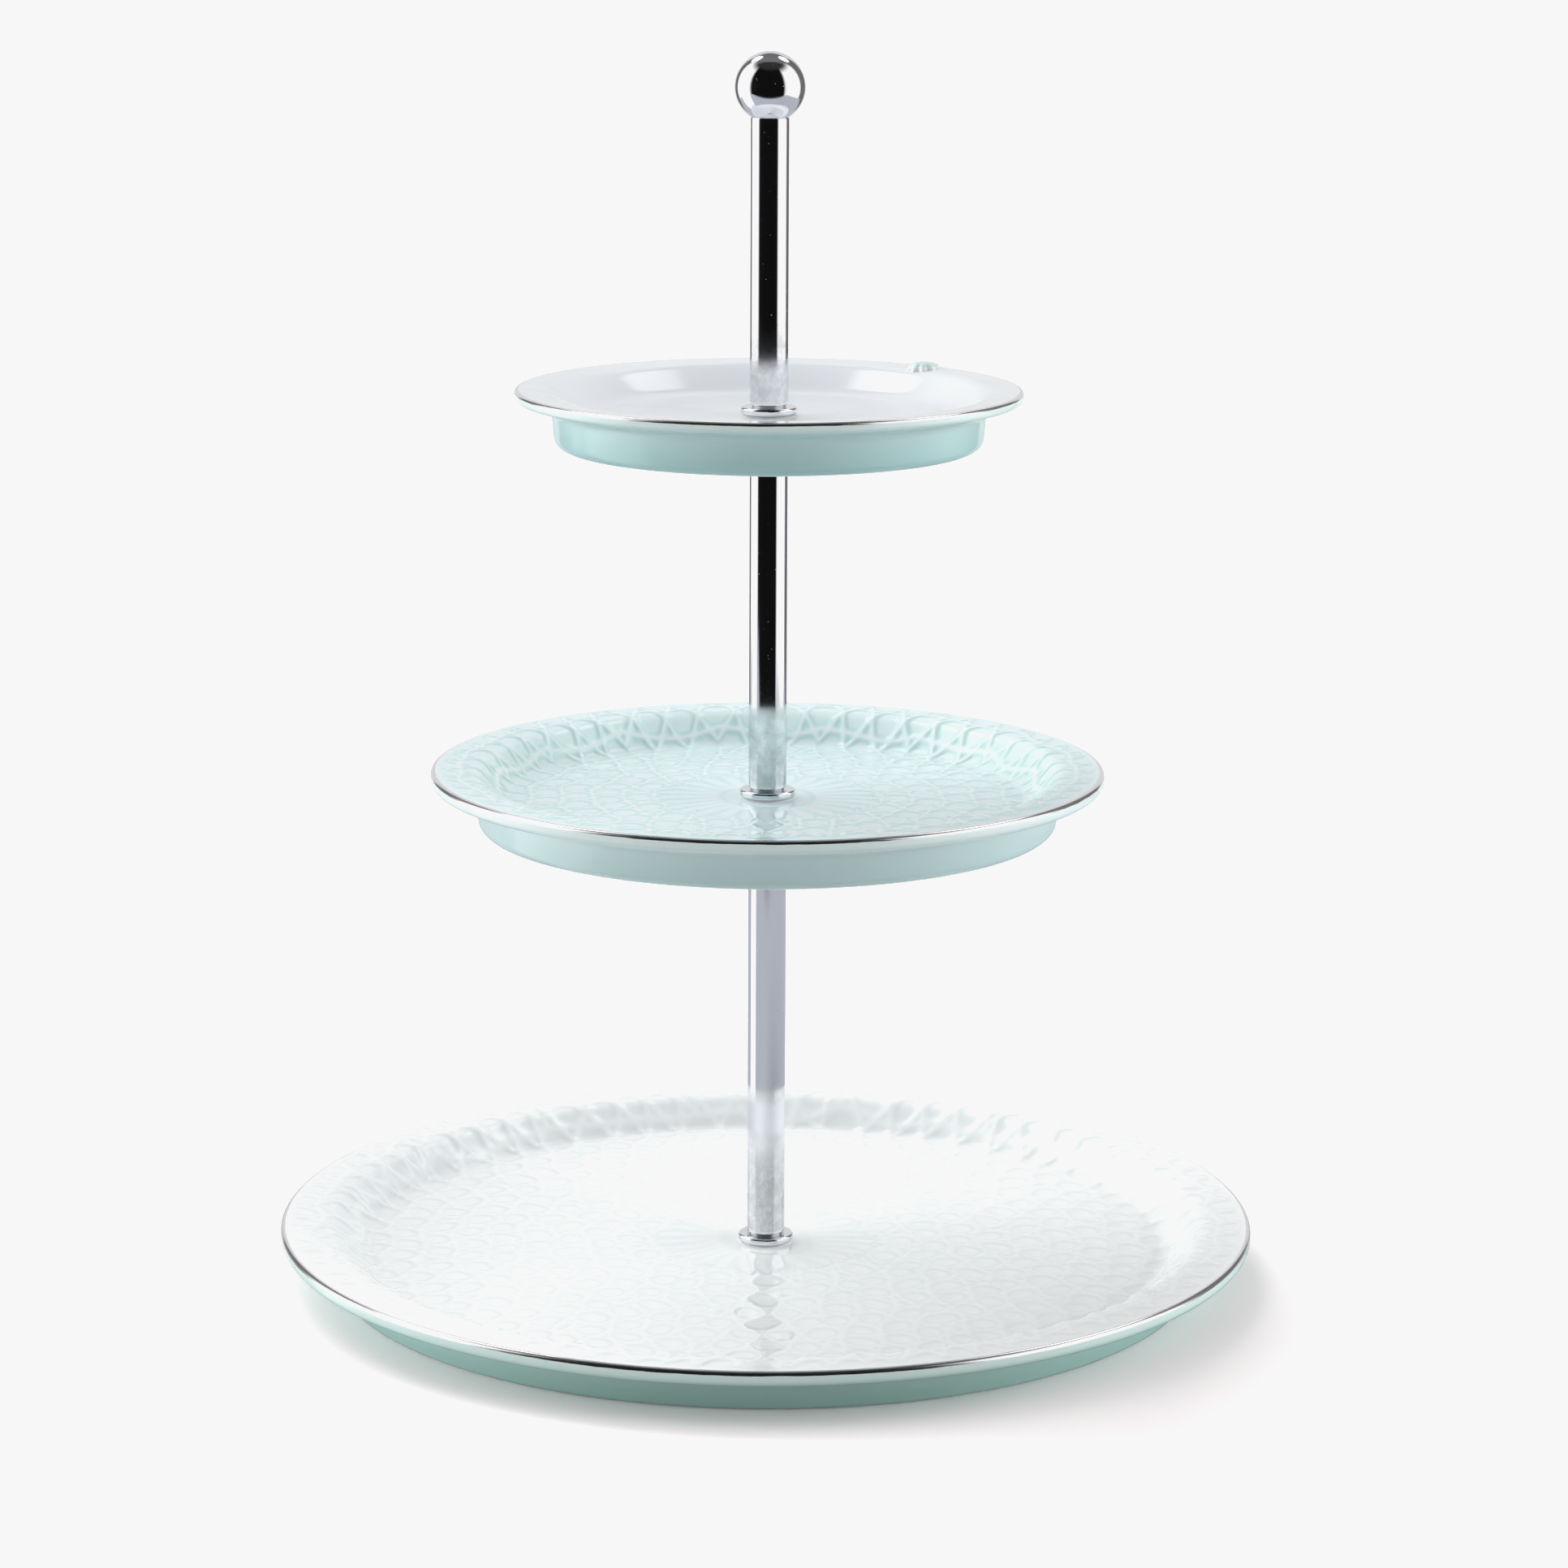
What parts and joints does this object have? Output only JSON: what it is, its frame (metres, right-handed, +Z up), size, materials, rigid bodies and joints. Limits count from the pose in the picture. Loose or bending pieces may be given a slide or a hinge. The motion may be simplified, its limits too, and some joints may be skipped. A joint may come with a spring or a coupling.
{
  "type": "tiered cake stand",
  "caption": "Serving stand of round shallow porcelain plates, small above large, on a chromed rod that screws together and ends in a ball.",
  "frame": {"origin": "on the table, at the centre of the bottom plate's foot ring", "axes": "+Z up along the rod; -Y towards the viewer; the bud on the top plate's rim lies at 47 degrees from +X towards +Y"},
  "size_m": [0.31, 0.31, 0.3875],
  "materials": {
    "bottom_glaze": "gloss glaze, white inside and mint outside",
    "middle_glaze": "gloss mint glaze",
    "top_glaze": "gloss glaze, white inside and mint outside",
    "chrome": "polished",
    "zinc_steel": "zinc plated",
    "plug_brass": "turned",
    "gasket": "soft translucent white"
  },
  "bodies": {
    "bottom_tier": {"bottom_plate": "bottom_glaze", "bottom_seat_gasket": "gasket", "bottom_cover_gasket": "gasket"},
    "stem": {"lower_tube": "chrome", "lower_tube_base_plug": "zinc_steel", "lower_tube_head_plug": "plug_brass", "bottom_flange": "chrome", "middle_support_disc": "zinc_steel"},
    "base_washer": {"base_washer": "zinc_steel"},
    "base_screw": {"base_screw": "zinc_steel"},
    "middle_tier": {"middle_plate": "middle_glaze", "middle_seat_gasket": "gasket", "middle_cover_gasket": "gasket"},
    "middle_stud": {"middle_joining_stud": "zinc_steel"},
    "middle_rod": {"middle_tube": "chrome", "middle_tube_base_plug": "zinc_steel", "middle_tube_head_plug": "plug_brass", "middle_flange": "chrome", "top_support_disc": "zinc_steel"},
    "top_tier": {"top_plate": "top_glaze", "top_seat_gasket": "gasket", "top_cover_gasket": "gasket"},
    "top_stud": {"top_joining_stud": "zinc_steel"},
    "handle": {"upper_tube": "chrome", "upper_tube_base_plug": "zinc_steel", "upper_tube_head_plug": "plug_brass", "top_flange": "chrome"},
    "finial_stud": {"finial_stud": "zinc_steel"},
    "finial": {"ball_finial": "chrome"}
  },
  "joints": [
    {"name": "rod_swivel", "type": "hinge", "parent": "bottom_tier", "child": "stem", "pos_m": [0, 0, 0.0092], "axis": [0, 0, 1], "continuous": true},
    {"name": "base_screw_drop", "type": "slide", "parent": "stem", "child": "base_washer", "axis": [0, 0, -1], "range_m": [0, 0.008]},
    {"name": "base_screw_turn", "type": "hinge", "parent": "base_washer", "child": "base_screw", "pos_m": [0, 0, 0.0028], "axis": [0, 0, -1], "range_deg": [0, 2880]},
    {"name": "middle_plate_swivel", "type": "hinge", "parent": "stem", "child": "middle_tier", "pos_m": [0, 0, 0.1496], "axis": [0, 0, 1], "continuous": true},
    {"name": "middle_stud_rise", "type": "slide", "parent": "stem", "child": "middle_stud", "axis": [0, 0, 1], "range_m": [0, 0.009]},
    {"name": "middle_rod_turn", "type": "hinge", "parent": "middle_stud", "child": "middle_rod", "pos_m": [0, 0, 0.158], "axis": [0, 0, 1], "range_deg": [0, 3240]},
    {"name": "top_plate_swivel", "type": "hinge", "parent": "middle_rod", "child": "top_tier", "pos_m": [0, 0, 0.2709], "axis": [0, 0, 1], "continuous": true},
    {"name": "top_stud_rise", "type": "slide", "parent": "middle_rod", "child": "top_stud", "axis": [0, 0, 1], "range_m": [0, 0.009]},
    {"name": "handle_turn", "type": "hinge", "parent": "top_stud", "child": "handle", "pos_m": [0, 0, 0.2791], "axis": [0, 0, 1], "range_deg": [0, 3240]},
    {"name": "finial_stud_rise", "type": "slide", "parent": "handle", "child": "finial_stud", "axis": [0, 0, 1], "range_m": [0, 0.009]},
    {"name": "ball_turn", "type": "hinge", "parent": "finial_stud", "child": "finial", "pos_m": [0, 0, 0.3674], "axis": [0, 0, 1], "range_deg": [0, 3240]}
  ],
  "couplings": [
    {"joint": "base_screw_turn", "follows": "base_screw_drop", "rad_per_m": 6283.2},
    {"joint": "middle_rod_turn", "follows": "middle_stud_rise", "rad_per_m": 6283.2},
    {"joint": "handle_turn", "follows": "top_stud_rise", "rad_per_m": 6283.2},
    {"joint": "ball_turn", "follows": "finial_stud_rise", "rad_per_m": 6283.2}
  ]
}
